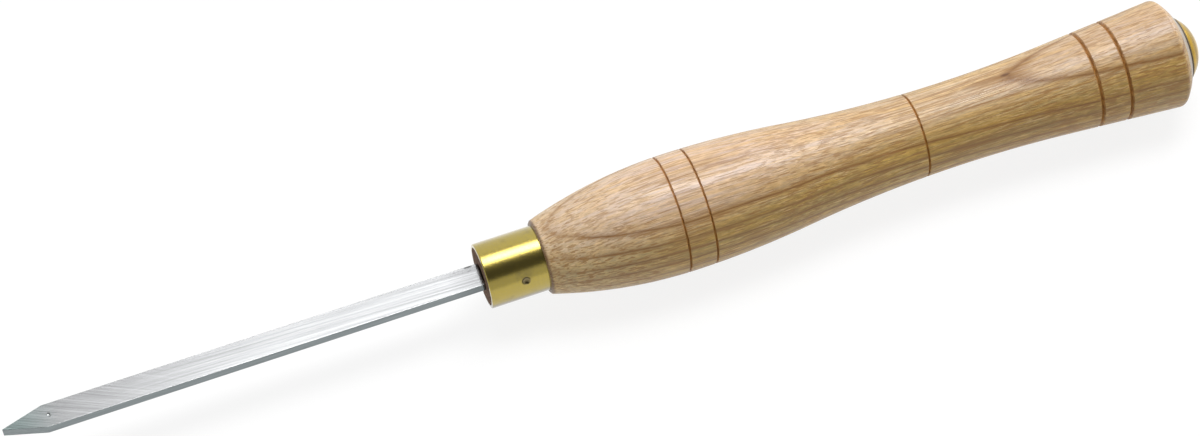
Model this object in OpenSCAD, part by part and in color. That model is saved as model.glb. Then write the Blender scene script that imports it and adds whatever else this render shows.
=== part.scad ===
// Lathe parting tool: a flat steel bar with a spear point, set in a turned ash handle.
// A brass ferrule binds the front of the handle and a domed brass nail caps its butt.
// The tool lies along X with its tip at -X, the blade's flat side up, and its belly on Z = 0.
// Inside the modules X = 0 is the ferrule's front rim and the tool's axis is the X axis.

/* [Blade] */
// Thickness of the bar, which is the width of its cut
blade_t = 2.0; // [1.2:0.1:3.2]
// Height of the bar between its two narrow edges
blade_h = 5.0; // [3.5:0.1:6.5]
// Length of the blade that stands out of the ferrule
blade_reach = 93.2; // [50:0.1:140]
// Length of the spear point
point_l = 8; // [4:0.1:16]
// Land left across the tip between the two bevels
tip_land = 0.12; // [0.04:0.01:0.4]
// Step from the bar down to its tang, on all four sides
tang_step = 0.12; // [0.05:0.01:0.3]
// Length of the tang inside the handle
tang_l = 36; // [20:0.5:46]
// Chamfer on the corners of the tang's end
tang_chamfer = 1.2; // [0.3:0.1:1.5]
// Distance from the tip to the hardness test pit
pit_x = 8.9; // [6:0.1:20]
// Diameter of the hardness test pit
pit_d = 0.9; // [0.5:0.05:1.4]
// Depth of the hardness test pit
pit_depth = 0.18; // [0.05:0.01:0.22]

/* [Ferrule] */
// Outside diameter of the ferrule
ferrule_d = 12.7; // [11.5:0.1:13.8]
// Length of the ferrule
ferrule_l = 11.6; // [8:0.1:16]
// Wall of the ferrule
ferrule_wall = 0.65; // [0.4:0.05:0.9]
// Rounding of the ferrule's front edge
ferrule_edge = 0.25; // [0.1:0.05:0.35]
// Distance from the front rim to the punched dimple
dimple_x = 7.1; // [4.5:0.05:9]
// Width of the dimple on the outside
dimple_d = 1.7; // [1:0.05:2.2]
// Depth of the dimple
dimple_depth = 0.45; // [0.2:0.05:0.5]
// Turn of the dimple about the axis, from straight up towards -Y
dimple_turn = 65; // [0:1:360]

/* [Handle] */
// Diameter of the shoulder behind the ferrule
shoulder_d = 14.4; // [13.8:0.1:17]
// Chamfer on the shoulder's front edge
shoulder_break = 0.25; // [0.1:0.05:0.4]
// Diameter of the belly
belly_d = 22.9; // [20:0.1:28]
// Distance from the shoulder to the belly
belly_x = 28.1; // [20:0.1:36]
// Distance from the shoulder to the turn between the belly's curve and the waist's
turn_x = 51.1; // [44:0.1:64]
// Diameter of the waist
waist_d = 16.3; // [14:0.1:18.5]
// Distance from the shoulder to the waist
waist_x = 83.3; // [76:0.1:92]
// Distance from the shoulder to the start of the straight flare
flare_x = 105.8; // [98:0.1:108]
// Distance from the shoulder to where the butt's diameter is measured
butt_x = 127; // [122:0.1:132]
// Diameter of the butt
butt_d = 21.3; // [19:0.1:23]
// Distance from the shoulder to the top of the butt's crown
crown_x = 132.6; // [131:0.05:136]
// Radius of the butt's crown
crown_r = 16.2; // [14:0.1:22]
// Rounding between the flare and the crown
crown_edge = 1.2; // [0.3:0.1:2]

/* [Ring grooves] */
// Distance from the shoulder to the first groove, on the belly
belly_groove_x = 26.2; // [16:0.1:30]
// Distance between the two grooves on the belly
belly_groove_gap = 5.4; // [2:0.1:12]
// Distance from the shoulder to the groove before the waist
waist_groove_x = 75.9; // [60:0.1:90]
// Distance from the shoulder to the first groove on the flare
flare_groove_x = 111.3; // [100:0.1:114]
// Distance between the two grooves on the flare
flare_groove_gap = 5.8; // [2:0.1:8]
// Width of the grooves on the belly and before the waist
fine_groove_w = 0.5; // [0.3:0.05:0.9]
// Depth of the grooves on the belly and before the waist
fine_groove_depth = 0.4; // [0.2:0.05:0.8]
// Width of the grooves on the flare
flare_groove_w = 0.85; // [0.4:0.05:1.4]
// Depth of the grooves on the flare
flare_groove_depth = 0.6; // [0.3:0.05:1]

/* [Butt nail] */
// Diameter of the nail's dome
dome_d = 13.3; // [9:0.1:15]
// Height of the dome above its rim
dome_h = 3.5; // [2.5:0.05:4.5]
// Thickness of the dome's shell
dome_wall = 0.5; // [0.3:0.05:0.7]
// Diameter of the nail's shank
nail_d = 1.8; // [1.2:0.1:2.6]
// Length of the shank in the wood
nail_l = 14; // [8:0.5:22]
// Length of the shank's point
nail_point = 3; // [1.5:0.1:5]
// Diameter of the shank's head inside the dome
nail_head_d = 5; // [3.4:0.1:5.6]

/* [Fits] */
// Room round the tang in its seat
tang_fit = 0.02; // [0.01:0.01:0.1]
// Room between the drilled hole and the tang's narrow edges, together
hole_room = 0.1; // [0.05:0.05:0.2]
// Room at the end of the drilled hole behind the tang
hole_end_room = 1; // [0.2:0.1:3]
// Room between the ferrule and its spigot
ferrule_fit = 0.02; // [0.01:0.01:0.08]
// Room round the nail's shank in its pilot hole
nail_fit = 0.02; // [0.01:0.01:0.08]

/* [Hidden] */

// Facets of a full turn round the axis, and of the small balls and arcs
turn_fn = 180;
arc_fn = 360;
small_fn = 64;
// Longest step between two points of the handle's side, and steps along its crown and edge arcs
side_step = 1;
crown_steps = 16;
edge_steps = 8;
// How far a cutting shape runs past the face that it cuts
past = 1;
// Turn of the turned pieces' seams about the axis, off the line on which the tool lies
seam_turn = 9.4;
// Half of a twist drill's point angle
drill_half_angle = 59;

// Radii of the turned surfaces
ferrule_r = ferrule_d / 2;
ferrule_bore_r = ferrule_r - ferrule_wall;
spigot_r = ferrule_bore_r - ferrule_fit;
shoulder_r = shoulder_d / 2;
belly_r = belly_d / 2;
waist_r = waist_d / 2;
butt_r = butt_d / 2;

// The tang is the bar's section, less the step all round, and its hole is drilled to its height
tang_t = blade_t - 2 * tang_step;
tang_h = blade_h - 2 * tang_step;
hole_r = (tang_h + hole_room) / 2;

// The belly's front arc meets the shoulder and is level at the belly
front_dr = belly_r - shoulder_r;
front_arc_r = (belly_x ^ 2 + front_dr ^ 2) / (2 * front_dr);

// The belly's back arc and the waist's front arc meet smoothly at the turn
back_dx = waist_x - belly_x;
back_dr = belly_r - waist_r;
both_arcs_r = (back_dx ^ 2 + back_dr ^ 2) / (2 * back_dr);
back_arc_r = both_arcs_r * (turn_x - belly_x) / back_dx;
waist_arc_r = both_arcs_r - back_arc_r;

// The waist's rear arc runs into the straight flare, whose angle makes the butt's diameter.
// Each pass of this function refines the tangent of half that angle.
rear_dx = flare_x - waist_x;
straight_dx = butt_x - flare_x;
rise = butt_r - waist_r;
function half_tangent(guess, passes) = passes == 0 ? guess
    : half_tangent(rise / (rear_dx + 2 * straight_dx / (1 - guess ^ 2)), passes - 1);
flare_angle = 2 * atan(half_tangent(0, 8));
flare_slope = tan(flare_angle);
rear_arc_r = rear_dx / sin(flare_angle);

// Radius of the handle's side at a distance behind the shoulder, without its grooves
function side_r(x) =
    x < belly_x ? belly_r - front_arc_r + sqrt(front_arc_r ^ 2 - (x - belly_x) ^ 2)
    : x < turn_x ? belly_r - back_arc_r + sqrt(back_arc_r ^ 2 - (x - belly_x) ^ 2)
    : x < waist_x ? waist_r + waist_arc_r - sqrt(waist_arc_r ^ 2 - (x - waist_x) ^ 2)
    : x < flare_x ? waist_r + rear_arc_r - sqrt(rear_arc_r ^ 2 - (x - waist_x) ^ 2)
    : butt_r + (x - butt_x) * flare_slope;

// The crown is part of a ball on the axis.
// Its edge arc touches the flare's line and the ball: its centre lies inside both by its radius.
crown_ball_x = crown_x - crown_r;
edge_start_r = side_r(crown_ball_x) - crown_edge / cos(flare_angle);
edge_reach = crown_r - crown_edge;
edge_dx = (sqrt(edge_reach ^ 2 * (1 + flare_slope ^ 2) - edge_start_r ^ 2)
    - flare_slope * edge_start_r) / (1 + flare_slope ^ 2);
edge_centre = [edge_start_r + flare_slope * edge_dx, crown_ball_x + edge_dx];
crown_edge_angle = atan2(edge_dx, edge_centre[0]);

// The dome's rim sits on the crown
dome_r = dome_d / 2;
dome_rim_x = crown_ball_x + sqrt(crown_r ^ 2 - dome_r ^ 2);
dome_top_x = dome_rim_x + dome_h;
dome_ball_r = (dome_r ^ 2 + dome_h ^ 2) / (2 * dome_h);
dome_ball_x = dome_top_x - dome_ball_r;
nail_r = nail_d / 2;
pilot_r = nail_r + nail_fit;
pilot_mouth_angle = acos(pilot_r / crown_r);

// Each groove's distance from the shoulder, width and depth, from the front to the butt
grooves = [
    [belly_groove_x, fine_groove_w, fine_groove_depth],
    [belly_groove_x + belly_groove_gap, fine_groove_w, fine_groove_depth],
    [waist_groove_x, fine_groove_w, fine_groove_depth],
    [flare_groove_x, flare_groove_w, flare_groove_depth],
    [flare_groove_x + flare_groove_gap, flare_groove_w, flare_groove_depth]
];

// Points of the section, each a radius and a distance from the shoulder.
// The side is laid out in stretches between the grooves, and a V groove adds its bottom point.
function stretch(from_x, to_x) =
    let (steps = ceil((to_x - from_x) / side_step))
    [for (i = [0 : steps]) let (x = from_x + (to_x - from_x) * i / steps) [side_r(x), x]];
function arc(centre, radius, from_angle, to_angle, steps) =
    [for (i = [1 : steps]) let (a = from_angle + (to_angle - from_angle) * i / steps)
        centre + radius * [cos(a), sin(a)]];
side_end_x = edge_centre[1] - crown_edge * sin(flare_angle);
stretch_starts = [shoulder_break, for (g = grooves) g[0] + g[1] / 2];
stretch_ends = [for (g = grooves) g[0] - g[1] / 2, side_end_x];
groove_bottoms = [for (g = grooves) [[side_r(g[0]) - g[2], g[0]]], []];
side_points = [for (i = [0 : len(grooves)]) each
    concat(stretch(stretch_starts[i], stretch_ends[i]), groove_bottoms[i])];
butt_points = concat(
    arc(edge_centre, crown_edge, -flare_angle, crown_edge_angle, edge_steps),
    arc([0, crown_ball_x], crown_r, crown_edge_angle, pilot_mouth_angle, crown_steps)
);

// The drilled hole ends in the drill's own point, and the pilot hole in the nail's
hole_end_x = tang_l + hole_end_room - ferrule_l;
front_points = [
    [0, hole_end_x + hole_r / tan(drill_half_angle)],
    [hole_r, hole_end_x],
    [hole_r, -ferrule_l],
    [spigot_r, -ferrule_l],
    [spigot_r, 0],
    [shoulder_r - shoulder_break, 0]
];
pilot_points = [
    [pilot_r, crown_x - nail_l + nail_point],
    [0, crown_x - nail_l - nail_fit]
];

// The dimple is a ball pressed into the ferrule: its wall keeps its thickness round the ball
dimple_ball_r = ((dimple_d / 2) ^ 2 + dimple_depth ^ 2) / (2 * dimple_depth);
dimple_ball_z = ferrule_r + dimple_ball_r - dimple_depth;
pit_ball_r = ((pit_d / 2) ^ 2 + pit_depth ^ 2) / (2 * pit_depth);

// Place of the tool in its frame: the middle of its length over the origin, the belly on Z = 0
tool_end_x = ferrule_l + dome_top_x;
front_x = (blade_reach - tool_end_x) / 2;
axis_z = belly_r;

// Puts a piece in the frame
module placed() translate([front_x, 0, axis_z]) children();

// Turns a section about the tool's axis: the section's X is the radius and its Y runs along the axis
module turned() rotate([0, 90, 0]) rotate(seam_turn) rotate_extrude($fn = turn_fn) children();

// The same, with the section measured from the shoulder instead of the ferrule's front rim
module turned_from_shoulder() turned() translate([0, ferrule_l]) children();

// Strip of the section between two places along the axis, out to a radius
module strip(from_x, to_x, radius) translate([0, from_x]) square([radius, to_x - from_x]);

// Disc of the section with its centre at a radius and a place along the axis
module disc(centre_r, centre_x, radius) translate([centre_r, centre_x]) circle(r = radius, $fn = arc_fn);

// Section of the nail's shank and of its head above the crown, before the dome trims the head
module shank_section() {
    polygon([
        [0, crown_x - nail_l],
        [nail_r, crown_x - nail_l + nail_point],
        [nail_r, crown_x],
        [nail_head_d / 2, crown_x],
        [nail_head_d / 2, dome_top_x],
        [0, dome_top_x]
    ]);
}

// Ball that presses the dimple, grown by a gap
module dimple_ball(gap) {
    rotate([dimple_turn, 0, 0])
        translate([dimple_x, 0, dimple_ball_z])
            sphere(r = dimple_ball_r + gap, $fn = small_fn);
}

// Steel bar with its spear point, whose end seats on the wood, and its thinner tang
module blade() {
    tip = -blade_reach;
    half_h = blade_h / 2;
    half_tang = tang_h / 2;
    color("lightgray") placed() difference() {
        union() {
            linear_extrude(height = blade_t, center = true) polygon([
                [tip, -tip_land / 2],
                [tip + point_l, -half_h],
                [0, -half_h],
                [0, half_h],
                [tip + point_l, half_h],
                [tip, tip_land / 2]
            ]);
            linear_extrude(height = tang_t, center = true) polygon([
                [-past, -half_tang],
                [tang_l - tang_chamfer, -half_tang],
                [tang_l, tang_chamfer - half_tang],
                [tang_l, half_tang - tang_chamfer],
                [tang_l - tang_chamfer, half_tang],
                [-past, half_tang]
            ]);
        }
        translate([tip + pit_x, 0, blade_t / 2 + pit_ball_r - pit_depth])
            sphere(r = pit_ball_r, $fn = small_fn);
    }
}

// Brass tube whose dimple keys it to the wood
module ferrule() {
    color("goldenrod") placed() difference() {
        union() {
            turned() difference() {
                translate([ferrule_bore_r, 0]) square([ferrule_wall, ferrule_l]);
                difference() {
                    translate([ferrule_r - ferrule_edge, 0]) square([ferrule_edge + past, ferrule_edge]);
                    disc(ferrule_r - ferrule_edge, ferrule_edge, ferrule_edge);
                }
            }
            intersection() {
                dimple_ball(ferrule_wall);
                turned() strip(0, ferrule_l, ferrule_bore_r + ferrule_wall / 2);
            }
        }
        dimple_ball(0);
    }
}

// Turned ash handle with its spigot, flush with the ferrule's rim, its grooves, tang hole and pilot hole
module handle() {
    color("burlywood") placed() difference() {
        turned_from_shoulder() polygon(concat(front_points, side_points, butt_points, pilot_points));
        translate([-past, -tang_h / 2 - tang_fit, -tang_t / 2 - tang_fit])
            cube([tang_l + past + tang_fit, tang_h + 2 * tang_fit, tang_t + 2 * tang_fit]);
        dimple_ball(ferrule_wall + ferrule_fit);
    }
}

// Thin brass dome of the nail, its rim on the crown of the butt
module nail_dome() {
    color("gold") placed() turned_from_shoulder() intersection() {
        strip(dome_rim_x - past, dome_top_x, dome_r + past);
        difference() {
            disc(0, dome_ball_x, dome_ball_r);
            disc(0, dome_ball_x, dome_ball_r - dome_wall);
            disc(0, crown_ball_x, crown_r);
        }
    }
}

// Steel shank of the nail, whose head fills the dome above the crown
module nail_shank() {
    color("dimgray") placed() turned_from_shoulder() difference() {
        shank_section();
        difference() {
            strip(crown_x, dome_top_x + past, nail_head_d);
            disc(0, dome_ball_x, dome_ball_r - dome_wall);
        }
    }
}

blade();
ferrule();
handle();
nail_dome();
nail_shank();
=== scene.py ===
"""Dresses the lathe parting tool: ground steel, brass, and lacquered ash, on a pale studio floor.

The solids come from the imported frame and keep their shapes. This script gives them their finish,
breaks the blade's edges, and sets up the floor, the light and the camera. Lengths are in metres
unless a name ends in _MM or _mm, angles are in degrees, and the shaders work in millimetres.
"""
import math

import bpy
from mathutils import Matrix, Quaternion, Vector


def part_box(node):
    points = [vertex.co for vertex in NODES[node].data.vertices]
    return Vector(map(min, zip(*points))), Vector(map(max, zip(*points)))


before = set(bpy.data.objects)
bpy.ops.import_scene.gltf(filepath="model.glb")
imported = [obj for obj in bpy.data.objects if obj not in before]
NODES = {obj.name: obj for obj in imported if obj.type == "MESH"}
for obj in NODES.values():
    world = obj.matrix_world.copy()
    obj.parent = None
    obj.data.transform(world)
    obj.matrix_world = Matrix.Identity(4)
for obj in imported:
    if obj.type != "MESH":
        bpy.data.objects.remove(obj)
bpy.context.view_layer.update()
MM = 1000.0

# Places along the tool, from the frame
TIP_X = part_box("blade")[0].x
ferrule_low, ferrule_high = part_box("ferrule")
AXIS_Z = (ferrule_low.z + ferrule_high.z) / 2
TIP = (TIP_X, 0, AXIS_Z)
SHOULDER = (ferrule_high.x, 0, AXIS_Z)
BLADE_OUT_MM = (ferrule_low.x - TIP_X) * MM
FERRULE_RADIUS_MM = ferrule_high.y * MM

# Camera: it looks down on the tool from the front, and from a little towards the tip
CAMERA_PLACE = Vector((-0.10809, -0.37651, 0.59212))
CAMERA_AZIMUTH = -15.659
CAMERA_ELEVATION = 55.743
CAMERA_ROLL = -4.979
CAMERA_LENS_MM = 111.25
CAMERA_SENSOR_MM = 36.0
CAMERA_RANGE = (0.01, 50.0)

# Lamps: each has its place, the spot that it faces, its two sides and its power in watts
LAMPS = {
    "key": {"place": (0.28, 0.255, 1.0), "aim": (0.02, 0, 0.01), "size": (1.06, 0.90), "power": 31},
    "side": {"place": (1.35, 0.62, 0.16), "aim": (0.11, 0, 0.01), "size": (0.6, 0.36), "power": 14},
}
# For each side of a lamp, the share of it over which the light fades to the rim, and how steeply
LAMP_FADES = ((0.25, 1.0), (0.45, 1.5))

# Room: the ceiling is a dark disc round one direction, with a soft edge between two angles from it.
# The wall behind the camera is dimmer than the far one. Unless a ray shows the room, its level is
# multiplied by ROOM_LIGHT.
CEILING = (0.05, -0.17, 0.98)
CEILING_EDGE = (52, 42)
CEILING_LEVEL = 0.13
NEAR_WALL_LEVEL = 0.68
FAR_WALL_LEVEL = 1.0
WALL_BLEND = 0.6
ROOM_LIGHT = 0.60

# Floor: its paint where it is seen and where it only bounces light, and the glow that it is seen with
FLOOR_HALF_SIZE = 6.0
FLOOR_SEEN = (0.15, 0.15, 0.15)
FLOOR_BOUNCE = (0.88, 0.88, 0.88)
FLOOR_GLOW = 0.86

# Edges: points of a mesh this near are joined, and the blade's sharp edges are broken
WELD_MM = 0.002
BREAK_MM = 0.05
BREAK_SEGMENTS = 2
BREAK_ANGLE = 60
# Edges sharper than these angles are shaded as sharp. The blade's limit is small, because the rim of
# its shallow test pit would otherwise bend the shading of the long flat face round it.
ROUND_SHARP_ANGLE = 28
FLAT_SHARP_ANGLE = 2

# Ash: levels of the growth rings' dark lines, measured from the axis along the rings' normal.
# The rings lie nearly flat, and sink towards the butt.
RING_LEVELS_MM = (-10.2, -7.6, -5.0, -2.5, 0.4, 2.85, 5.3, 7.9, 12.1)
RING_RANGE_MM = (-13.0, 17.0)
RING_TILT = 4
RING_SINK_MM = 4.3
RING_SINK_SPAN_MM = (15, 120)
RING_WANDER_MM = 0.55
RING_JAG_MM = 0.16
# How sharply a ring's line and its core stand out from the darkness round them
LINE_SHARPNESS = (3.0, 10.0)
# Distance from a ring's line, darkness and pore density there
RING_PROFILE = ((-0.75, 0.0, 1.0), (-0.05, 1.0, 0.8), (0.5, 0.45, 0.2))

# Ash, painted light and shade by height: the levels over which the top is painted pale as if lit, and
# how fast they rise towards the butt. It is painted browner as shade below other levels, over a
# stretch from the shoulder.
LIT_TOP_LEVELS_MM = (2.5, 9.5)
LIT_TOP_RISE = 0.055
LOW_SHADE_LEVELS_MM = (2, 6)
LOW_SHADE_SPAN_MM = (70, 95)

# Ash, from the shoulder: where the spigot's end grain, the painted shade with dirt by the ferrule, the
# ring lines, the painted light on the front and the painted sheen on the butt's crown each set in or fade
SPIGOT_END_MM = (-5.0, -4.0)
JOINT_SHADE_AND_GRIME_SPAN_MM = (0.1, 0.7)
LINES_SPAN_MM = (1, 14)
FRONT_LIGHT_SPAN_MM = (2, 32)
CROWN_SHEEN_SPAN_MM = (129.6, 130.2)

# Shares of a groove's half width: where the scorch fades, where the char lies, and where that fades
SCORCH_FADE = (0.4, 1.2)
CHAR_PLACE = 0.45
CHAR_FADE = (0.1, 0.6)

# Pin knot in the ash, from the shoulder and the axis, and its tail, which lies towards the ferrule
KNOT_MM = (95.0, 1.3, 8.2)
KNOT_HALF_SIZES_MM = (1.0, 0.35)
KNOT_TAIL_MM = 4.0
KNOT_TAIL_HALF_SIZES_MM = (5.5, 0.9)

# Patterns in the ash, drawn out along the grain: features to the millimetre along the grain and
# across it, octaves and their roughness
ASH_PATTERNS = {
    "wander": (0.03, 0.12, 2, 0.5),
    "jagged": (0.06, 1.2, 3, 0.5),
    "pores": (0.09, 3.6, 1, 0.5),
    "ragged": (0.9, 1.2, 3, 0.5),
    "patchy": (0.5, 0.7, 3, 0.5),
    "knot": (0.5, 2.0, 3, 0.5),
    "bands": (0.025, 0.7, 3, 0.5),
    "fibre": (0.06, 2.4, 3, 0.7),
    "fleck": (0.55, 3.8, 2, 0.7),
    "warm": (0.05, 0.9, 4, 0.7),
    "vein": (0.014, 0.9, 2, 0.5),
    "broken": (0.07, 1.0, 2, 0.5),
    "stretch": (0.035, 0.25, 2, 0.5),
    "speckle": (2.0, 2.2, 3, 0.5),
}

# Grinding lines on the blade: their angle to the bar, and features to the millimetre across them and
# along them. The slanting ones by the point give way to the others over a stretch from the tip.
GRIND_SLANTING = (27, 3.2, 0.05)
GRIND_LENGTHWISE = (2, 3.6, 0.02)
GRIND_SPAN_MM = (14, 42)
# Stretch from the tip over which the point's bluish grey, partly painted shade, gives way to the face
TIP_TINT_AND_SHADE_SPAN_MM = (2, 12)

# The blade by the ferrule's rim: how far from it the steel is painted darker as shade, and scuffed,
# and a nick on the far edge, from the rim and the axis
RIM_SHADE_SPAN_MM = (0.3, 8.0)
SCUFF_SPAN_MM = (5, 9)
SCUFF_ACROSS_MM = (0.2, 1.6)
NICK_MM = (1.9, 2.3)
NICK_HALF_SIZES_MM = (0.8, 0.18)

# Ferrule: the heights over which its underside is painted darker, as shade for the tool's shadow that
# it mirrors, and the middle of its dimple, from the shoulder and the axis, with the distances over
# which the dimple's staining fades
UNDERSIDE_SHADE_HEIGHTS_MM = (-2.2, -0.3)
DIMPLE_MM = (-4.5, -5.755, 2.684)
DIMPLE_FADE_MM = (0.6, 1.05)

# Darkened rings on the nail's dome, a painted shade of its gap against the wood at the rim and a
# painted dark reflection half way up: share of its height, half width in millimetres, strength
DOME_SHADE_RINGS = ((0.0, 0.48, 0.99), (0.5, 0.4, 0.35))

ASH_OLIVE = (0.47, 0.32, 0.092)
# Painted light: the pale pink of the handle's lit top
ASH_LIT_TOP_SHEEN = (0.66, 0.487, 0.38)
# Painted shade: the brown low down on the handle by the butt
ASH_LOW_SHADE = (0.33, 0.185, 0.06)
ASH_CREAM = (0.86, 0.72, 0.50)
ASH_WARMTH = (1.08, 0.95, 0.60)
ASH_LINE = (0.25, 0.11, 0.022)
ASH_PORE = (0.33, 0.16, 0.045)
ASH_BURNT = (0.46, 0.21, 0.045)
ASH_CHAR = (0.16, 0.065, 0.02)
ASH_END = (0.22, 0.17, 0.13)
# Painted sheen: the pale grey that the crown reflects at a grazing angle
ASH_CROWN_SHEEN = (0.42, 0.39, 0.35)
ASH_KNOT = (0.13, 0.05, 0.015)
STEEL_FACE = (0.345, 0.35, 0.356)
# Partly painted shade: the point is darker for the dimmer light it mirrors, and bluish from grinding
STEEL_TIP_TINT_AND_SHADE = (0.25, 0.305, 0.30)
STEEL_EDGE = (0.235, 0.265, 0.27)
STEEL_DIRT = (0.05, 0.05, 0.05)
FERRULE_BRASS = (0.41, 0.31, 0.028)
# Stains on the ferrule, and the painted shade of its underside
FERRULE_STAIN_AND_SHADE = (0.13, 0.09, 0.015)
DOME_BRASS = (0.54, 0.34, 0.035)
# Stains on the dome, and the painted shade and reflection of its darkened rings
DOME_STAIN_AND_SHADE = (0.03, 0.016, 0.005)
SHANK_STEEL = (0.30, 0.30, 0.30)
WHITE = (1, 1, 1)


class Graph:
    """A node tree, built by short calls that give back sockets."""

    def __init__(self, tree):
        self.tree = tree
        tree.nodes.clear()

    def add(self, kind, inputs=(), **settings):
        """Adds a node, sets its properties, and fills its inputs with values or with sockets."""
        made = self.tree.nodes.new(kind)
        for name, value in settings.items():
            setattr(made, name, value)
        for key, value in dict(inputs).items():
            socket = made.inputs[key]
            if isinstance(value, bpy.types.NodeSocket):
                self.tree.links.new(value, socket)
            else:
                socket.default_value = (*value, 1) if socket.type == "RGBA" else value
        return made

    def math(self, operation, *values):
        return self.add("ShaderNodeMath", enumerate(values), operation=operation).outputs[0]

    def vector_math(self, operation, *values):
        made = self.add("ShaderNodeVectorMath", enumerate(values), operation=operation)
        return made.outputs["Value" if operation in ("DOT_PRODUCT", "LENGTH") else "Vector"]

    def remap(self, value, low, high, to_low=0.0, to_high=1.0, kind="SMOOTHSTEP"):
        """Carries the range from low to high over to another, and holds values outside it."""
        inputs = enumerate((value, low, high, to_low, to_high))
        return self.add("ShaderNodeMapRange", inputs, interpolation_type=kind).outputs["Result"]

    def noise(self, place, scale, detail=2.0, roughness=0.5):
        """Noise whose size is given by a scale for each axis, in features to the millimetre."""
        stretched = self.vector_math("MULTIPLY", place, scale)
        inputs = {"Vector": stretched, "Scale": 1.0, "Detail": detail, "Roughness": roughness}
        return self.add("ShaderNodeTexNoise", inputs).outputs[0]

    def swing(self, value, size, middle=0.0):
        """Turns noise from 0 to 1 into a value that swings by a size to both sides of a middle."""
        return self.math("MULTIPLY_ADD", value, 2 * size, middle - size)

    def apart(self, first, second):
        """Distance between two numbers."""
        return self.math("ABSOLUTE", self.math("SUBTRACT", first, second))

    def ellipse(self, place, half_sizes):
        """Squared distance from the middle of an ellipse, which is 1 on its rim."""
        shares = [self.math("DIVIDE", value, half) for value, half in zip(place, half_sizes)]
        return self.math("ADD", *[self.math("POWER", share, 2.0) for share in shares])

    def mix(self, amount, first, second, blend="MIX"):
        inputs = {0: amount, 6: first, 7: second}
        return self.add("ShaderNodeMix", inputs, data_type="RGBA", blend_type=blend).outputs[2]

    def tinted(self, color, amount, strength, tint):
        """Mixes a tint into a colour, by an amount from 0 to 1 times a strength."""
        return self.mix(self.math("MULTIPLY", amount, strength), color, tint)

    def scaled(self, color, value):
        """Multiplies a colour by a number."""
        made = self.add("ShaderNodeVectorMath", {0: color, "Scale": value}, operation="SCALE")
        return made.outputs["Vector"]

    def bump(self, height, depth_mm):
        inputs = {"Strength": 1.0, "Distance": depth_mm / MM, "Height": height}
        return self.add("ShaderNodeBump", inputs).outputs["Normal"]

    def place_mm(self, origin):
        """Place on the piece in millimetres from an origin in the frame."""
        place = self.add("ShaderNodeTexCoord").outputs["Object"]
        moved = self.vector_math("SUBTRACT", place, origin)
        return self.vector_math("MULTIPLY", moved, (MM, MM, MM))

    def seen(self):
        """1 for rays that show the surroundings: to the camera, in a gloss or through glass."""
        rays = self.add("ShaderNodeLightPath").outputs
        glossy = self.math("MAXIMUM", rays["Is Glossy Ray"], rays["Is Transmission Ray"])
        return self.math("MAXIMUM", glossy, rays["Is Camera Ray"])

    def parts(self, vector):
        return self.add("ShaderNodeSeparateXYZ", {0: vector}).outputs[:3]


def new_material(name):
    """A new material, and the graph of its empty node tree."""
    material = bpy.data.materials.new(name)
    material.use_nodes = True
    return material, Graph(material.node_tree)


def new_object(name, data):
    """A new object in the scene, made from a mesh, a lamp or a camera."""
    piece = bpy.data.objects.new(name, data)
    bpy.context.scene.collection.objects.link(piece)
    return piece


def shade(g, **sockets):
    """Ends a material with one Principled shader. A socket's spaces are written as underscores."""
    inputs = {name.replace("_", " "): value for name, value in sockets.items()}
    shader = g.add("ShaderNodeBsdfPrincipled", inputs)
    g.add("ShaderNodeOutputMaterial", {"Surface": shader.outputs[0]})


def groove_places():
    """Centre and half width of each ring groove, in millimetres from the shoulder.

    The handle's outside, which is wider than the ferrule, has one dip in its outline for each groove.
    """
    dip_mm = 0.2
    outline = {}
    for vertex in NODES["handle"].data.vertices:
        along = round((vertex.co.x - SHOULDER[0]) * MM, 3)
        radius = math.hypot(vertex.co.y, vertex.co.z - AXIS_Z) * MM
        if radius > FERRULE_RADIUS_MM:
            outline[along] = radius
    places = sorted(outline)
    return [
        (x, (after - before) / 2)
        for before, x, after in zip(places, places[1:], places[2:])
        if outline[x] < min(outline[before], outline[after]) - dip_mm
    ]


def ash_pattern(g, place, name):
    """One of the patterns in the ash, from 0 to 1."""
    along, across, detail, roughness = ASH_PATTERNS[name]
    return g.noise(place, (along, across, across), detail, roughness)


def ring_level(g, place):
    """Level through the growth rings, which lie nearly flat, sink to the butt and wander."""
    tilt = math.radians(RING_TILT)
    level = g.vector_math("DOT_PRODUCT", place, (0, math.sin(tilt), math.cos(tilt)))
    sink = g.remap(g.parts(place)[0], *RING_SINK_SPAN_MM, 0, RING_SINK_MM)
    wander = g.swing(ash_pattern(g, place, "wander"), RING_WANDER_MM)
    jagged = g.swing(ash_pattern(g, place, "jagged"), RING_JAG_MM)
    for change in (sink, wander, jagged):
        level = g.math("ADD", level, change)
    return level


def ring_ramp(g, level):
    """Darkness and pore density across the growth rings, from the level through them.

    Each ring has a dark line that fades slowly above it, and a zone of open pores below it.
    """
    low, high = RING_RANGE_MM
    places = [
        ((ring + offset - low) / (high - low), (dark, pores, 0, 1))
        for ring in RING_LEVELS_MM
        for offset, dark, pores in RING_PROFILE
    ]
    ramp = g.add("ShaderNodeValToRGB", {"Fac": g.remap(level, low, high, kind="LINEAR")})
    stops = ramp.color_ramp.elements
    stops.remove(stops[1])
    stops[0].position, stops[0].color = places[0]
    for position, color in places[1:]:
        stops.new(position).color = color
    split = g.add("ShaderNodeSeparateColor", {"Color": ramp.outputs["Color"]})
    return split.outputs[0], split.outputs[1]


def ring_lines(g, place, dark):
    """Lines of the rings and their darkest cores: stronger in some stretches, faint by the ferrule."""
    stretch = g.remap(ash_pattern(g, place, "stretch"), 0.35, 0.65, 0.70, 1.0)
    stretch = g.math("MULTIPLY", stretch, g.remap(g.parts(place)[0], *LINES_SPAN_MM, 0.25, 1.0))
    return [g.math("MULTIPLY", g.math("POWER", dark, sharpness), stretch) for sharpness in LINE_SHARPNESS]


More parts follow.
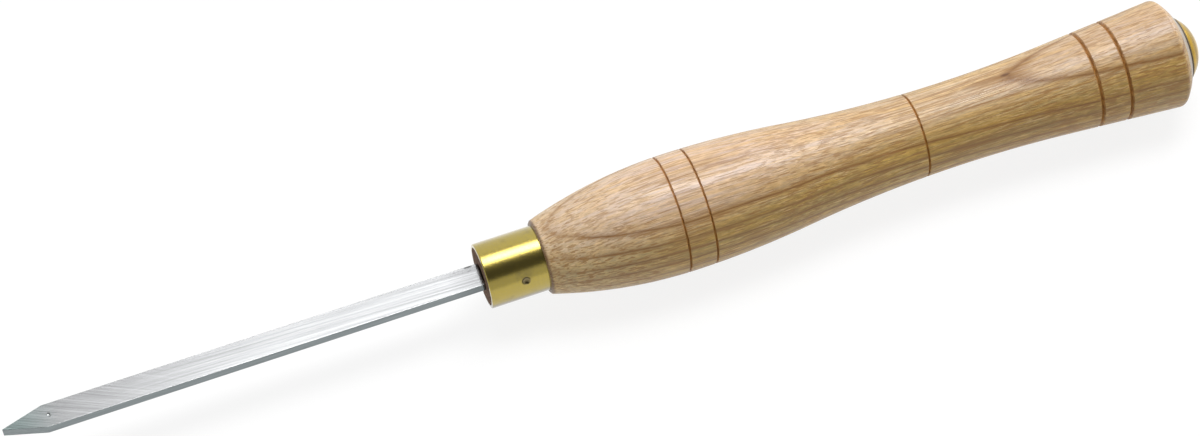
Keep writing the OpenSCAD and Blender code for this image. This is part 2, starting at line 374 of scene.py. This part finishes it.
def pore_streaks(g, place, density):
    """Short dark streaks along the grain: many in the pore zones, few between them."""
    start = g.remap(density, 0, 1, 0.60, 0.53, "LINEAR")
    return g.remap(g.math("SUBTRACT", ash_pattern(g, place, "pores"), start), 0, 0.04)


def scorched_grooves(g, place):
    """How far the wood is burnt in each ring groove, and charred on the side towards the butt."""
    ragged = g.math("ADD", g.parts(place)[0], g.swing(ash_pattern(g, place, "ragged"), 0.2))
    scorch, char = 0.0, 0.0
    for centre, half_width in groove_places():
        scorch_fade = [half_width * share for share in SCORCH_FADE]
        char_fade = [half_width * share for share in CHAR_FADE]
        from_char = g.apart(ragged, centre + half_width * CHAR_PLACE)
        scorch = g.math("MAXIMUM", scorch, g.remap(g.apart(ragged, centre), *scorch_fade, 1, 0))
        char = g.math("MAXIMUM", char, g.remap(from_char, *char_fade, 1, 0))
    patchy = g.remap(ash_pattern(g, place, "patchy"), 0.40, 0.60, 0.1, 1.0)
    return scorch, g.math("MULTIPLY", char, patchy)


def pin_knot(g, place):
    """How far the wood is dark in its one pin knot, and in the tail along the grain."""
    away, across, _ = g.parts(g.vector_math("SUBTRACT", place, KNOT_MM))
    bent = g.math("ADD", away, g.swing(ash_pattern(g, place, "knot"), 0.5))
    from_tail = g.math("ADD", bent, KNOT_TAIL_MM)
    core = g.remap(g.ellipse((bent, across), KNOT_HALF_SIZES_MM), 0.2, 1.3, 0.9, 0)
    tail = g.remap(g.ellipse((from_tail, across), KNOT_TAIL_HALF_SIZES_MM), 0.1, 1.1, 0.6, 0)
    upper_side = g.remap(g.parts(place)[2], 0, 2)
    return g.math("MULTIPLY", core, upper_side), g.math("MULTIPLY", tail, upper_side)


def handle_ends(g, place, fleck):
    """Masks: the crown's painted sheen, the spigot's end grain, and painted shade with dirt by the
    ferrule.
    """
    along = g.parts(place)[0]
    # Painted sheen: the crown is painted pale grey for the white that it reflects at a grazing angle
    crown = g.remap(along, *CROWN_SHEEN_SPAN_MM)
    end = g.remap(along, *SPIGOT_END_MM, 1, 0)
    # Painted shade: a dark line in the joint with the ferrule, mottled like dirt
    by_ferrule = g.remap(along, *JOINT_SHADE_AND_GRIME_SPAN_MM, 0.95, 0)
    joint_shade_and_grime = g.math("MULTIPLY", by_ferrule, g.remap(fleck, 0.35, 0.6, 0.4, 1.0))
    return crown, end, joint_shade_and_grime


def height_light_and_shade(g, along, lit_height):
    """Olive wood, painted paler and pinker high up as if lit, and browner low by the butt as shade."""
    color = g.mix(g.remap(lit_height, *LIT_TOP_LEVELS_MM), ASH_OLIVE, ASH_LIT_TOP_SHEEN)
    low = g.remap(lit_height, *LOW_SHADE_LEVELS_MM, 0.32, 0)
    return g.tinted(color, g.remap(along, *LOW_SHADE_SPAN_MM), low, ASH_LOW_SHADE)


def ash_streaks(g, place, contrast, fibre, fleck):
    """Brightness of the streaks along the grain, which swings to both sides of 1."""
    bands = g.swing(ash_pattern(g, place, "bands"), 0.14)
    streaks = g.math("ADD", bands, g.math("ADD", g.swing(fibre, 0.26), g.swing(fleck, 0.62)))
    return g.math("MULTIPLY_ADD", streaks, contrast, 1.0)


def ash_hues(g, place, color, fibre, fleck):
    """Lays orange bands, cream fibres, painted light near the ferrule and fine brown veins over a colour.
    """
    warm = g.remap(ash_pattern(g, place, "warm"), 0.38, 0.62)
    color = g.mix(g.math("MULTIPLY", warm, 0.75), color, ASH_WARMTH, "MULTIPLY")
    cream = g.remap(g.math("ADD", fibre, g.swing(fleck, 0.12)), 0.54, 0.68)
    color = g.tinted(color, cream, 0.25, ASH_CREAM)
    # Painted light: the wood by the ferrule is painted paler, as if lit more
    front = g.remap(g.parts(place)[0], *FRONT_LIGHT_SPAN_MM, 1, 0)
    color = g.tinted(color, front, 0.25, ASH_CREAM)
    contour = g.remap(g.apart(ash_pattern(g, place, "vein"), 0.5), 0.012, 0.05, 1, 0)
    broken = g.remap(ash_pattern(g, place, "broken"), 0.42, 0.58, 0.15, 1.0)
    return g.tinted(color, g.math("MULTIPLY", contour, broken), 0.50, ASH_PORE)


def ash():
    """Lacquered ash: flat growth rings, pores drawn out along the grain, scorched grooves."""
    material, g = new_material("ash_lacquered")
    place = g.place_mm(SHOULDER)
    along = g.parts(place)[0]
    level = ring_level(g, place)
    fibre = ash_pattern(g, place, "fibre")
    fleck = ash_pattern(g, place, "fleck")

    # Plain wood, whose streaks and pores stand out less where the top is painted pale as if lit
    lit_height = g.math("MULTIPLY_ADD", along, -LIT_TOP_RISE, level)
    contrast = g.remap(lit_height, *LIT_TOP_LEVELS_MM, 1.3, 0.65)
    color = height_light_and_shade(g, along, lit_height)
    color = g.scaled(color, ash_streaks(g, place, contrast, fibre, fleck))
    color = ash_hues(g, place, color, fibre, fleck)

    dark, density = ring_ramp(g, level)
    line, core = ring_lines(g, place, dark)
    pore = pore_streaks(g, place, density)
    scorch, char = scorched_grooves(g, place)
    knot, knot_tail = pin_knot(g, place)
    crown, end, joint_shade_and_grime = handle_ends(g, place, fleck)
    speckle = g.remap(ash_pattern(g, place, "speckle"), 0.35, 0.65, 0.25, 1.9)
    # Each mark lies over those before it: its amount, its strength and its colour
    marks = (
        (dark, 0.22, ASH_LINE),
        (line, 1.0, ASH_LINE),
        (core, 0.55, ASH_KNOT),
        (g.math("MULTIPLY", pore, contrast), 0.62, ASH_PORE),
        (scorch, 0.75, ASH_BURNT),
        (char, 0.55, ASH_CHAR),
        (knot_tail, 1.0, ASH_LINE),
        (knot, 1.0, ASH_KNOT),
        # Painted sheen on the crown
        (crown, 0.75, ASH_CROWN_SHEEN),
        (end, 1.0, g.scaled(ASH_END, speckle)),
        # Painted shade with dirt in the joint with the ferrule
        (joint_shade_and_grime, 1.0, ASH_KNOT),
    )
    for amount, strength, tint in marks:
        color = g.tinted(color, amount, strength, tint)

    grain = g.math("ADD", g.swing(fibre, 0.3), g.swing(fleck, 0.2))
    grain = g.math("SUBTRACT", grain, g.math("MULTIPLY", pore, 0.6))
    roughness = g.math("MULTIPLY_ADD", pore, 0.15, 0.42)
    roughness = g.math("MULTIPLY_ADD", scorch, 0.25, roughness)
    roughness = g.math("MAXIMUM", roughness, g.math("MULTIPLY", end, 0.9))
    shade(
        g,
        Base_Color=color,
        Roughness=roughness,
        Specular_IOR_Level=0.35,
        Normal=g.bump(grain, 0.05),
        Coat_Weight=g.remap(end, 0, 1, 0.3, 0.0),
        Coat_Roughness=0.24,
        Coat_Normal=g.bump(grain, 0.025),
    )
    return material


def grind_lines(g, place, angle, across, along):
    """Fine parallel lines on a flat face, at an angle to the bar."""
    inputs = {"Vector": place, "Angle": math.radians(angle)}
    turned = g.add("ShaderNodeVectorRotate", inputs, rotation_type="Z_AXIS").outputs[0]
    return g.noise(turned, (along, across, 0.5), detail=4, roughness=0.7)


def rim_dirt(g, place, to_rim):
    """How far the blade is dirty by the ferrule: in a nick on its far edge, and in scuffs there."""
    across = g.parts(place)[1]
    from_nick = [g.math("SUBTRACT", value, middle) for value, middle in zip((to_rim, across), NICK_MM)]
    nick = g.remap(g.ellipse(from_nick, NICK_HALF_SIZES_MM), 0.5, 1.5, 0.9, 0)
    scuff = g.remap(g.noise(place, (1.6, 2.6, 2.6), detail=3), 0.60, 0.70)
    near = g.math("MULTIPLY", g.remap(to_rim, *SCUFF_SPAN_MM, 0.5, 0), g.remap(across, *SCUFF_ACROSS_MM))
    return g.math("MAXIMUM", nick, g.math("MULTIPLY", scuff, near))


def ground_steel():
    """Surface-ground steel: slanting lines by the point, lines along the bar behind it."""
    material, g = new_material("ground_steel")
    place = g.place_mm(TIP)
    along = g.parts(place)[0]
    normal = g.add("ShaderNodeNewGeometry").outputs["Normal"]
    flat = g.remap(g.math("ABSOLUTE", g.parts(normal)[2]), 0.4, 0.8)

    behind = g.remap(along, *GRIND_SPAN_MM)
    slanting = g.math("MULTIPLY", grind_lines(g, place, *GRIND_SLANTING), g.math("SUBTRACT", 1.0, behind))
    lengthwise = g.math("MULTIPLY", grind_lines(g, place, *GRIND_LENGTHWISE), behind)
    lines = g.math("ADD", slanting, lengthwise)
    cloud = g.noise(place, (0.06, 0.4, 0.4))

    # The point is greyer, a bluish tint with painted shade for the dimmer light that it mirrors. The two
    # narrow edges are darker than the flat faces, and all is painted darker by the rim as shade
    face = g.mix(g.remap(along, *TIP_TINT_AND_SHADE_SPAN_MM), STEEL_TIP_TINT_AND_SHADE, STEEL_FACE)
    face = g.scaled(face, g.swing(lines, 0.55, 1.0))
    edge = g.scaled(STEEL_EDGE, g.swing(g.noise(place, (0.15, 3, 3)), 0.25, 1.0))
    to_rim = g.math("SUBTRACT", BLADE_OUT_MM, along)
    # Painted shade: the steel darkens towards the ferrule's rim
    color = g.scaled(g.mix(flat, edge, face), g.remap(to_rim, *RIM_SHADE_SPAN_MM, 0.76, 1.0))
    color = g.mix(rim_dirt(g, place, to_rim), color, STEEL_DIRT)

    shade(
        g,
        Base_Color=color,
        Metallic=1.0,
        Roughness=g.math("ADD", g.swing(lines, 0.05, 0.18), g.swing(cloud, 0.015)),
        Anisotropic=0.92,
        Tangent=g.add("ShaderNodeTangent", direction_type="RADIAL", axis="X").outputs[0],
        Normal=g.bump(lines, 0.006),
    )
    return material


def brass(name, color, stain_and_shade_color, roughness, turned_lines, bump_mm, coat, low=0.0, rings=()):
    """Brass with fine turning lines, a faint grain, darker stains and, by its weight, a lacquer coat.

    Its underside is painted darker to the strength given as low, as shade for the tool's shadow that
    it mirrors, and its dimple has staining as strong. Each ring of painted shade and reflection has a
    place along the axis from the shoulder, a half width and a strength.
    """
    material, g = new_material(name)
    place = g.place_mm(SHOULDER)
    along, _, height = g.parts(place)
    lines = g.noise(place, turned_lines, detail=4, roughness=0.65)
    grain = g.noise(place, (2.6, 2.6, 2.6))
    cloud = g.noise(place, (0.35, 0.35, 0.35), detail=3)

    stain_and_shade_amount = g.remap(cloud, 0.5, 0.8, 0.0, 0.45)
    if low:
        # Painted shade: the underside darkens for the tool's shadow that it mirrors; the dimple has
        # staining
        from_dimple = g.vector_math("LENGTH", g.vector_math("SUBTRACT", place, DIMPLE_MM))
        stain_and_shade_amount = g.math("MAXIMUM", stain_and_shade_amount, g.remap(height, *UNDERSIDE_SHADE_HEIGHTS_MM, low, 0))
        stain_and_shade_amount = g.math("MAXIMUM", stain_and_shade_amount, g.remap(from_dimple, *DIMPLE_FADE_MM, low, 0))
    # Darkened rings: painted shade at the dome's rim and a painted dark reflection above it
    painted_ring_darkening = 0.0
    for middle, half_width, strength in rings:
        ring = g.remap(g.apart(along, middle), half_width * 0.5, half_width * 1.5, strength, 0)
        painted_ring_darkening = g.math("MAXIMUM", painted_ring_darkening, ring)
    tint = g.mix(g.math("MAXIMUM", stain_and_shade_amount, painted_ring_darkening), color, stain_and_shade_color)

    rough = g.math("ADD", g.swing(grain, 0.05, roughness), g.swing(cloud, 0.06))
    relief = g.math("ADD", g.math("MULTIPLY", lines, 0.6), g.math("MULTIPLY", grain, 0.4))
    shade(
        g,
        Base_Color=g.scaled(tint, g.swing(lines, 0.08, 1.0)),
        Metallic=g.math("SUBTRACT", 1.0, painted_ring_darkening) if rings else 1.0,
        Roughness=g.math("MULTIPLY_ADD", painted_ring_darkening, 0.5, rough),
        Normal=g.bump(relief, bump_mm),
        Coat_Weight=coat,
        Coat_Roughness=roughness,
        Coat_IOR=1.7,
    )
    return material


def dome_brass():
    """Polished brass, with painted shade at the dome's rim and a painted dark reflection half way up."""
    rim_mm, top_mm = [(corner.x - SHOULDER[0]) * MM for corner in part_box("nail_dome")]
    return brass(
        "polished_brass",
        DOME_BRASS,
        DOME_STAIN_AND_SHADE,
        roughness=0.12,
        turned_lines=(0.8, 0.8, 0.8),
        bump_mm=0.004,
        coat=0.0,
        rings=[(rim_mm + share * (top_mm - rim_mm), *ring) for share, *ring in DOME_SHADE_RINGS],
    )


def ferrule_brass():
    """Lacquered brass tube with fine lines round it, painted shade below, and staining in its dimple."""
    return brass(
        "ferrule_brass",
        FERRULE_BRASS,
        FERRULE_STAIN_AND_SHADE,
        roughness=0.22,
        turned_lines=(5.0, 0.25, 0.25),
        bump_mm=0.03,
        coat=1.0,
        low=0.9,
    )


def shank_steel():
    """Plain drawn wire, hidden in the wood."""
    material, g = new_material("nail_wire")
    lines = g.noise(g.place_mm(SHOULDER), (0.1, 6.0, 6.0), detail=3)
    color = g.scaled(SHANK_STEEL, g.swing(lines, 0.2, 1.0))
    shade(g, Base_Color=color, Metallic=1.0, Roughness=0.4)
    return material


def shading_group(name, sharp_angle):
    """Node group that shades smoothly except across edges sharper than a limit."""
    group = bpy.data.node_groups.new(name, "GeometryNodeTree")
    for way in ("INPUT", "OUTPUT"):
        group.interface.new_socket("Geometry", in_out=way, socket_type="NodeSocketGeometry")
    g = Graph(group)
    source = g.add("NodeGroupInput").outputs[0]
    angle = g.add("GeometryNodeInputMeshEdgeAngle").outputs["Unsigned Angle"]
    limits = {0: angle, 1: math.radians(sharp_angle)}
    sharp = g.add("FunctionNodeCompare", limits, operation="GREATER_THAN").outputs[0]
    inputs = {"Mesh": source, "Remove Custom": True, "Edge Sharpness": sharp}
    shaded = g.add("GeometryNodeSetMeshNormal", inputs, mode="SHARPNESS").outputs[0]
    g.add("NodeGroupOutput", {0: shaded})
    return group


def finish_edges(piece, group, broken):
    """Joins the facets of a solid's mesh, breaks its sharp edges if asked to, and shades it."""
    weld = piece.modifiers.new("join_facets", "WELD")
    weld.merge_threshold = WELD_MM / MM
    if broken:
        bevel = piece.modifiers.new("break_edges", "BEVEL")
        bevel.width = BREAK_MM / MM
        bevel.segments = BREAK_SEGMENTS
        bevel.limit_method = "ANGLE"
        bevel.angle_limit = math.radians(BREAK_ANGLE)
    shading = piece.modifiers.new("shading", "NODES")
    shading.node_group = group


def dress():
    """Gives each solid its material, its edges and its shading."""
    round_shading = shading_group("shade_round", ROUND_SHARP_ANGLE)
    flat_shading = shading_group("shade_flat", FLAT_SHARP_ANGLE)
    # Material, shading, and whether the sharp edges are broken
    finishes = {
        "blade": (ground_steel(), flat_shading, True),
        "ferrule": (ferrule_brass(), round_shading, False),
        "handle": (ash(), round_shading, False),
        "nail_dome": (dome_brass(), round_shading, False),
        "nail_shank": (shank_steel(), round_shading, False),
    }
    for name, (material, group, broken) in finishes.items():
        NODES[name].material_slots[0].material = material
        finish_edges(NODES[name], group, broken)


def floor():
    """Pale floor: white where it is seen, but for a soft shadow, and lit like paper for all else."""
    half = FLOOR_HALF_SIZE
    mesh = bpy.data.meshes.new("floor")
    corners = [(-half, -half, 0), (half, -half, 0), (half, half, 0), (-half, half, 0)]
    mesh.from_pydata(corners, [], [(0, 1, 2, 3)])
    piece = new_object("floor", mesh)
    material, g = new_material("pale_floor")
    seen = g.seen()
    glow = g.math("MULTIPLY", seen, FLOOR_GLOW)
    color = g.mix(seen, FLOOR_BOUNCE, FLOOR_SEEN)
    lit = g.add("ShaderNodeBsdfDiffuse", {"Color": color}).outputs[0]
    white = g.add("ShaderNodeEmission", {"Color": WHITE, "Strength": glow}).outputs[0]
    both = g.add("ShaderNodeAddShader", {0: lit, 1: white}).outputs[0]
    g.add("ShaderNodeOutputMaterial", {"Surface": both})
    mesh.materials.append(material)


def studio_room():
    """Soft light from all round: a white far wall, a dimmer near one, and a dark ceiling."""
    world = bpy.data.worlds.new("studio")
    bpy.context.scene.world = world
    world.use_nodes = True
    g = Graph(world.node_tree)
    direction = g.add("ShaderNodeTexCoord").outputs["Generated"]
    depth = g.parts(direction)[1]
    walls = g.remap(depth, -WALL_BLEND, WALL_BLEND, NEAR_WALL_LEVEL, FAR_WALL_LEVEL)
    overhead = g.vector_math("DOT_PRODUCT", direction, Vector(CEILING).normalized())
    edge = [math.cos(math.radians(angle)) for angle in CEILING_EDGE]
    level = g.math("MULTIPLY", walls, g.remap(overhead, *edge, 1.0, CEILING_LEVEL))
    level = g.math("MULTIPLY", level, g.remap(g.seen(), 0, 1, ROOM_LIGHT, 1.0))
    background = g.add("ShaderNodeBackground", {"Color": WHITE, "Strength": level})
    g.add("ShaderNodeOutputWorld", {"Surface": background.outputs[0]})


def softbox(name, place, aim, size, power):
    """Rectangular lamp with its first side as near to X as can be, which fades towards its rim."""
    data = bpy.data.lights.new(name, "AREA")
    data.shape = "RECTANGLE"
    data.size, data.size_y = size
    data.energy = power
    data.use_nodes = True
    g = Graph(data.node_tree)
    shares = g.parts(g.add("ShaderNodeNewGeometry").outputs["Parametric"])
    strength = 1.0
    for share, (fade, steepness) in zip(shares, LAMP_FADES):
        from_rim = g.math("PINGPONG", share, 0.5)
        soft = g.math("POWER", g.remap(from_rim, 0.0, fade), steepness)
        strength = g.math("MULTIPLY", strength, soft)
    glow = g.add("ShaderNodeEmission", {"Color": WHITE, "Strength": strength}).outputs[0]
    g.add("ShaderNodeOutputLight", {"Surface": glow})
    lamp = new_object(name, data)
    back = (Vector(place) - Vector(aim)).normalized()
    side = (Vector((1, 0, 0)) - back * back.x).normalized()
    turn = Matrix((side, back.cross(side), back)).transposed()
    lamp.matrix_world = Matrix.Translation(place) @ turn.to_4x4()
    lamp.visible_camera = False


def camera():
    """Camera at the photograph's viewing angle."""
    data = bpy.data.cameras.new("camera")
    data.sensor_fit = "HORIZONTAL"
    data.sensor_width = CAMERA_SENSOR_MM
    data.lens = CAMERA_LENS_MM
    data.clip_start, data.clip_end = CAMERA_RANGE
    piece = new_object("camera", data)
    turn, rise = math.radians(CAMERA_AZIMUTH), math.radians(CAMERA_ELEVATION)
    back = Vector((math.sin(turn) * math.cos(rise), -math.cos(turn) * math.cos(rise), math.sin(rise)))
    roll = Quaternion((0, 0, 1), math.radians(CAMERA_ROLL))
    piece.location = CAMERA_PLACE
    piece.rotation_mode = "QUATERNION"
    piece.rotation_quaternion = back.to_track_quat("Z", "Y") @ roll
    bpy.context.scene.camera = piece


dress()
floor()
studio_room()
for lamp_name, lamp_values in LAMPS.items():
    softbox(lamp_name, **lamp_values)
camera()
bpy.context.scene.view_settings.view_transform = "Standard"
